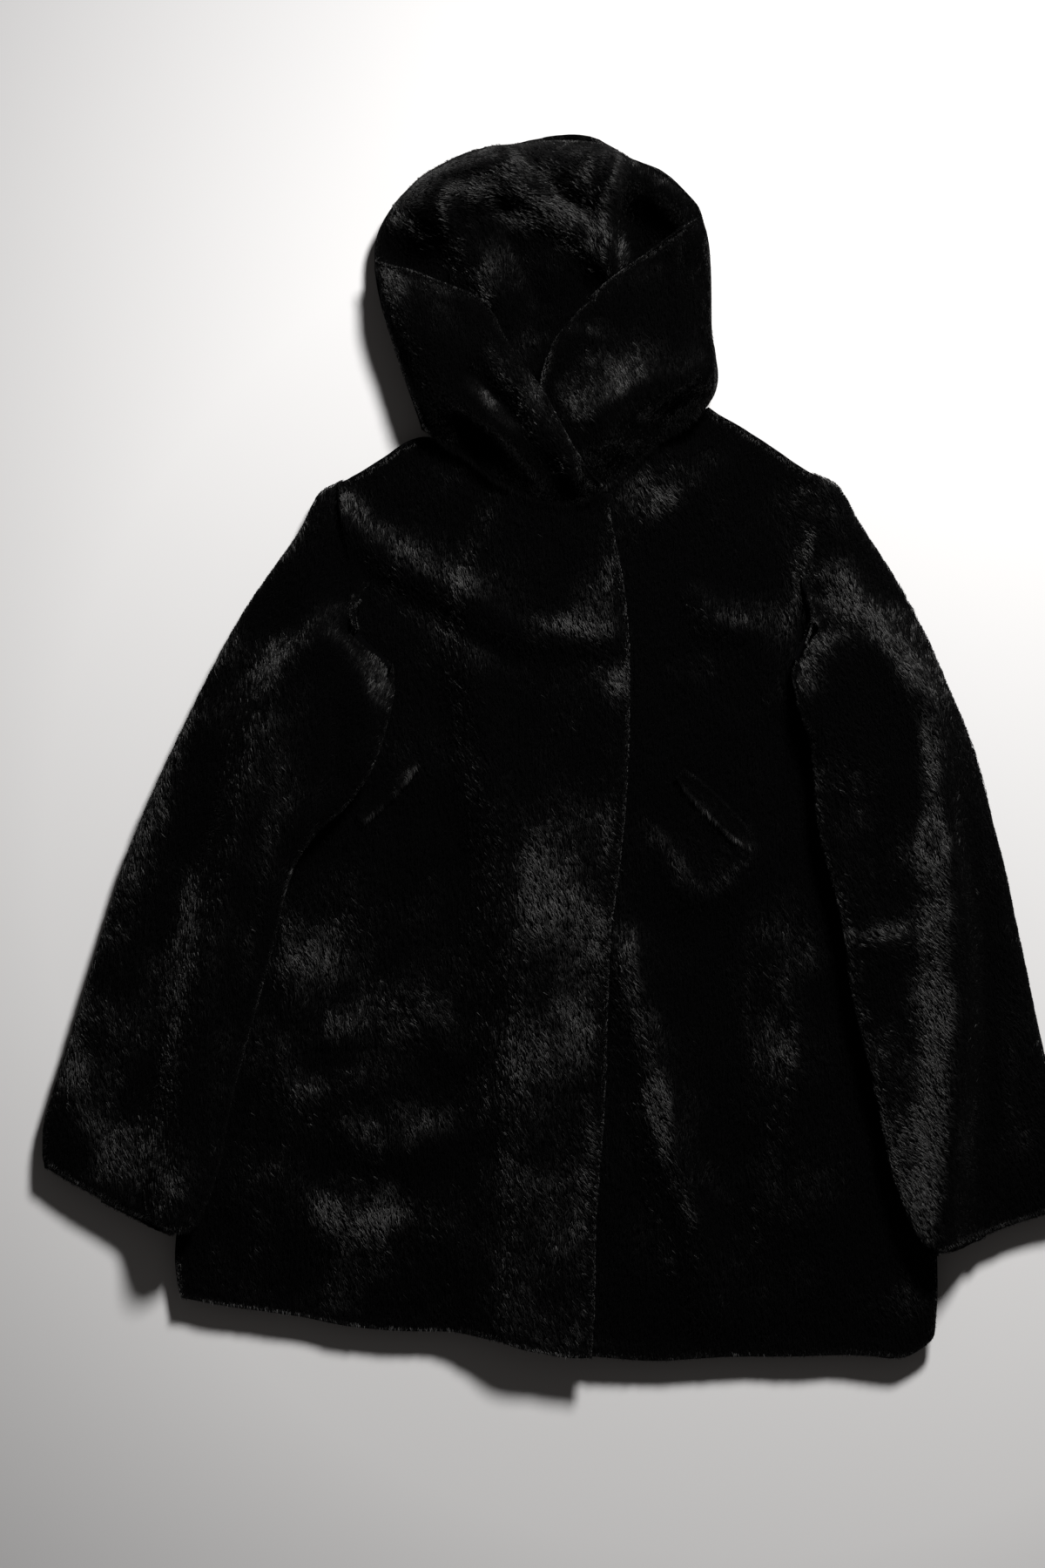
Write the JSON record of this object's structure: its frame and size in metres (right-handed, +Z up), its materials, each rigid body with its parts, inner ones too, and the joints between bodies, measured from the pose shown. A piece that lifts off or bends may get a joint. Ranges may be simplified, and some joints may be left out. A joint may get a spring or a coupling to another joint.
{
  "type": "hooded plush coat",
  "caption": "Black plush fur coat with a hood, laid flat on its back, fronts closed edge over edge, sleeves down, hood open",
  "frame": {"origin": "middle of the box round the coat, on the surface it lies on", "axes": "+Z up off the surface, +Y towards the hood, -X towards the garment's right side"},
  "size_m": [0.9042, 1.063, 0.0704],
  "materials": {
    "back": "deep plush pile, matt with a soft sheen",
    "front_right": "deep plush pile, matt with a soft sheen",
    "front_left": "deep plush pile, matt with a soft sheen",
    "sleeve_right": "deep plush pile, matt with a soft sheen",
    "sleeve_left": "deep plush pile, matt with a soft sheen",
    "hood_back": "deep plush pile, matt with a soft sheen",
    "hood_right": "deep plush pile, matt with a soft sheen",
    "hood_left": "deep plush pile, matt with a soft sheen",
    "pocket_left": "deep plush pile, matt with a soft sheen",
    "pocket_right": "deep plush pile, matt with a soft sheen"
  },
  "bodies": {
    "root": {"back": "back", "front_right": "front_right", "front_left": "front_left", "sleeve_right": "sleeve_right", "sleeve_left": "sleeve_left", "hood_back": "hood_back", "hood_right": "hood_right", "hood_left": "hood_left", "pocket_left": "pocket_left", "pocket_right": "pocket_right"}
  },
  "joints": []
}
